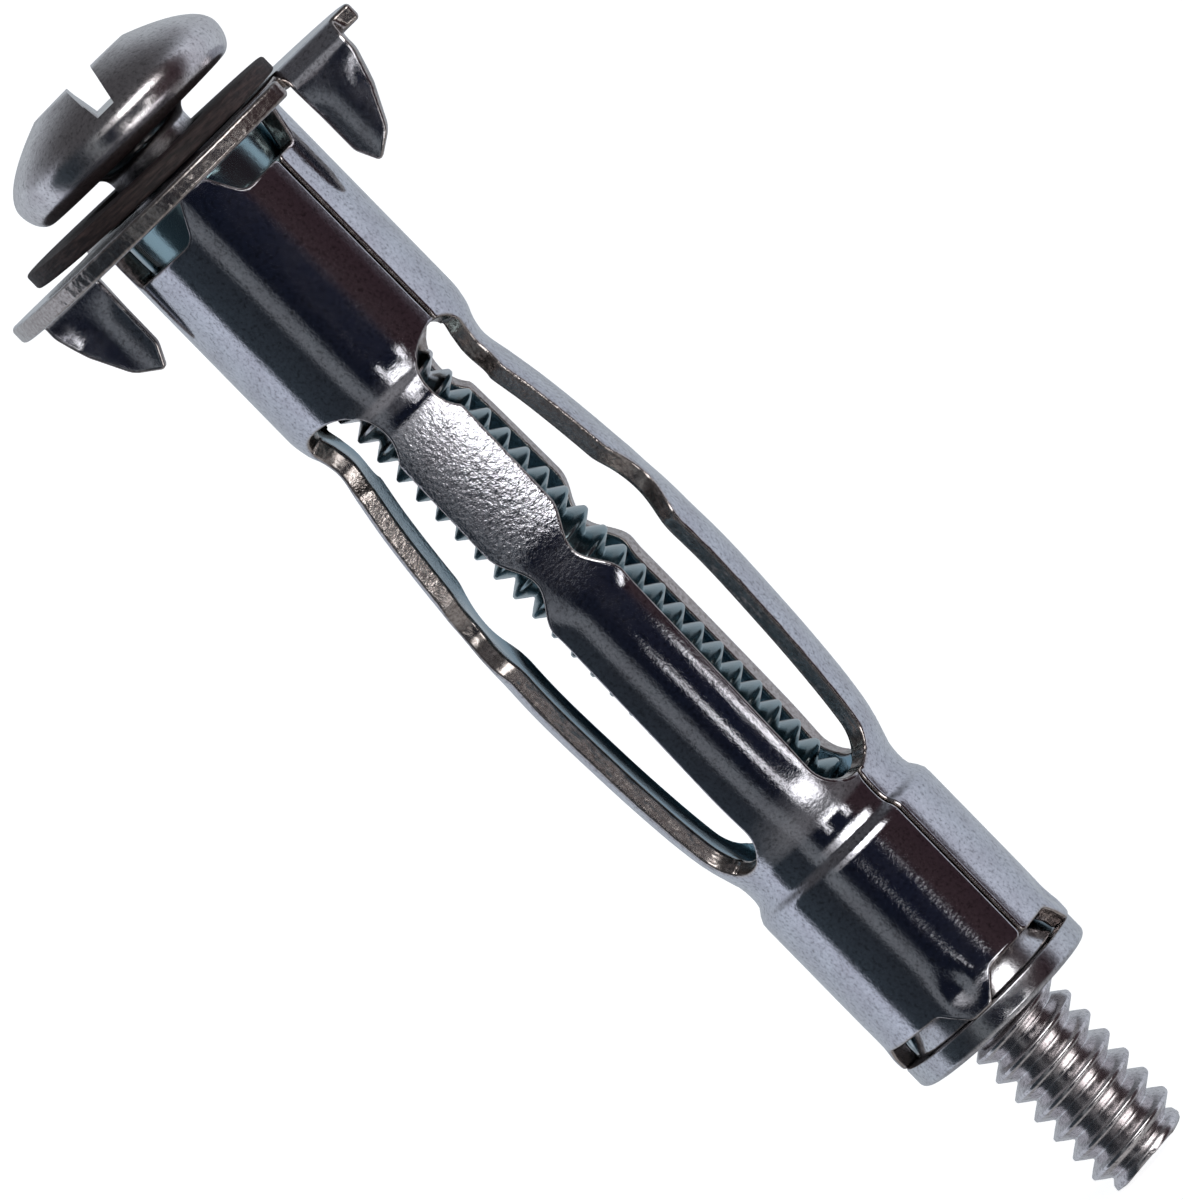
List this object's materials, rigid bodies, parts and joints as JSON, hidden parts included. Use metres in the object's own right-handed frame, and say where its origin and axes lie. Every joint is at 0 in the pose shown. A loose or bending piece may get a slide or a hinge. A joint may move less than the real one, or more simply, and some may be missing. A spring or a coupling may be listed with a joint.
{
  "type": "hollow wall anchor",
  "caption": "Hollow wall anchor: a slotted machine screw runs through a clawed flange and a slit sleeve whose legs fold out behind the wall.",
  "frame": {"origin": "on the screw's axis, in the plane of the flange's underside, which is the wall's face", "axes": "+Z along the screw's axis, out of the wall towards the head; the four legs stand at -Y (front), +X (right), +Y (rear) and -X (left); the claws' bend lines lie along +X and -X"},
  "size_m": [0.0134, 0.0136, 0.0441],
  "materials": {
    "screw_zinc": "bright zinc plate",
    "flange_zinc": "bright zinc plate with darker cut edges",
    "sleeve_zinc": "bright zinc plate, rough where the sheet is coined",
    "nut_zinc": "bright zinc plate",
    "fibre": "matt vulcanised fibre"
  },
  "bodies": {
    "head_end": {"prong_flange": "flange_zinc", "sleeve_barrel": "sleeve_zinc", "neck_bends": "sleeve_zinc"},
    "washer": {"fibre_washer": "fibre"},
    "screw": {"screw": "screw_zinc"},
    "tail": {"sleeve_collar": "sleeve_zinc", "nut": "nut_zinc", "root_bends": "sleeve_zinc"},
    "upper_leg_front": {"leg_upper_front": "sleeve_zinc", "waist_bend_front": "sleeve_zinc"},
    "lower_leg_front": {"leg_lower_front": "sleeve_zinc"},
    "upper_leg_right": {"leg_upper_right": "sleeve_zinc", "waist_bend_right": "sleeve_zinc"},
    "lower_leg_right": {"leg_lower_right": "sleeve_zinc"},
    "upper_leg_rear": {"leg_upper_rear": "sleeve_zinc", "waist_bend_rear": "sleeve_zinc"},
    "lower_leg_rear": {"leg_lower_rear": "sleeve_zinc"},
    "upper_leg_left": {"leg_upper_left": "sleeve_zinc", "waist_bend_left": "sleeve_zinc"},
    "lower_leg_left": {"leg_lower_left": "sleeve_zinc"}
  },
  "joints": [
    {"name": "screw_lift", "type": "slide", "parent": "head_end", "child": "washer", "axis": [0, 0, 1], "range_m": [0, 0.0405]},
    {"name": "screw_turn", "type": "hinge", "parent": "washer", "child": "screw", "pos_m": [0, 0, 0], "axis": [0, 0, -1], "range_deg": [0, 3520.18]},
    {"name": "nut_draw", "type": "slide", "parent": "head_end", "child": "tail", "axis": [0, 0, 1], "range_m": [0, 0.00776], "deforming": ["root_bends"]},
    {"name": "neck_fold_front", "type": "hinge", "parent": "head_end", "child": "upper_leg_front", "pos_m": [0, -0.0026, -0.009], "axis": [-1, 0, 0], "range_deg": [0, 82.69], "deforming": ["neck_bends"]},
    {"name": "waist_fold_front", "type": "hinge", "parent": "upper_leg_front", "child": "lower_leg_front", "pos_m": [0, -0.00337, -0.015], "axis": [-1, 0, 0], "range_deg": [-113.38, 0], "deforming": ["waist_bend_front"]},
    {"name": "neck_fold_right", "type": "hinge", "parent": "head_end", "child": "upper_leg_right", "pos_m": [0.0026, 0, -0.009], "axis": [0, -1, 0], "range_deg": [0, 82.69]},
    {"name": "waist_fold_right", "type": "hinge", "parent": "upper_leg_right", "child": "lower_leg_right", "pos_m": [0.00337, 0, -0.015], "axis": [0, -1, 0], "range_deg": [-113.38, 0], "deforming": ["waist_bend_right"]},
    {"name": "neck_fold_rear", "type": "hinge", "parent": "head_end", "child": "upper_leg_rear", "pos_m": [0, 0.0026, -0.009], "axis": [1, 0, 0], "range_deg": [0, 82.69]},
    {"name": "waist_fold_rear", "type": "hinge", "parent": "upper_leg_rear", "child": "lower_leg_rear", "pos_m": [0, 0.00337, -0.015], "axis": [1, 0, 0], "range_deg": [-113.38, 0], "deforming": ["waist_bend_rear"]},
    {"name": "neck_fold_left", "type": "hinge", "parent": "head_end", "child": "upper_leg_left", "pos_m": [-0.0026, 0, -0.009], "axis": [0, 1, 0], "range_deg": [0, 82.69]},
    {"name": "waist_fold_left", "type": "hinge", "parent": "upper_leg_left", "child": "lower_leg_left", "pos_m": [-0.00337, 0, -0.015], "axis": [0, 1, 0], "range_deg": [-113.38, 0], "deforming": ["waist_bend_left"]}
  ],
  "couplings": [
    {"joint": "screw_turn", "follows": "nut_draw", "rad_per_m": 7915.8},
    {"joint": "neck_fold_front", "follows": "nut_draw", "rad_per_m": 185.94},
    {"joint": "waist_fold_front", "follows": "nut_draw", "rad_per_m": -254.95},
    {"joint": "neck_fold_right", "follows": "nut_draw", "rad_per_m": 185.94},
    {"joint": "waist_fold_right", "follows": "nut_draw", "rad_per_m": -254.95},
    {"joint": "neck_fold_rear", "follows": "nut_draw", "rad_per_m": 185.94},
    {"joint": "waist_fold_rear", "follows": "nut_draw", "rad_per_m": -254.95},
    {"joint": "neck_fold_left", "follows": "nut_draw", "rad_per_m": 185.94},
    {"joint": "waist_fold_left", "follows": "nut_draw", "rad_per_m": -254.95}
  ]
}
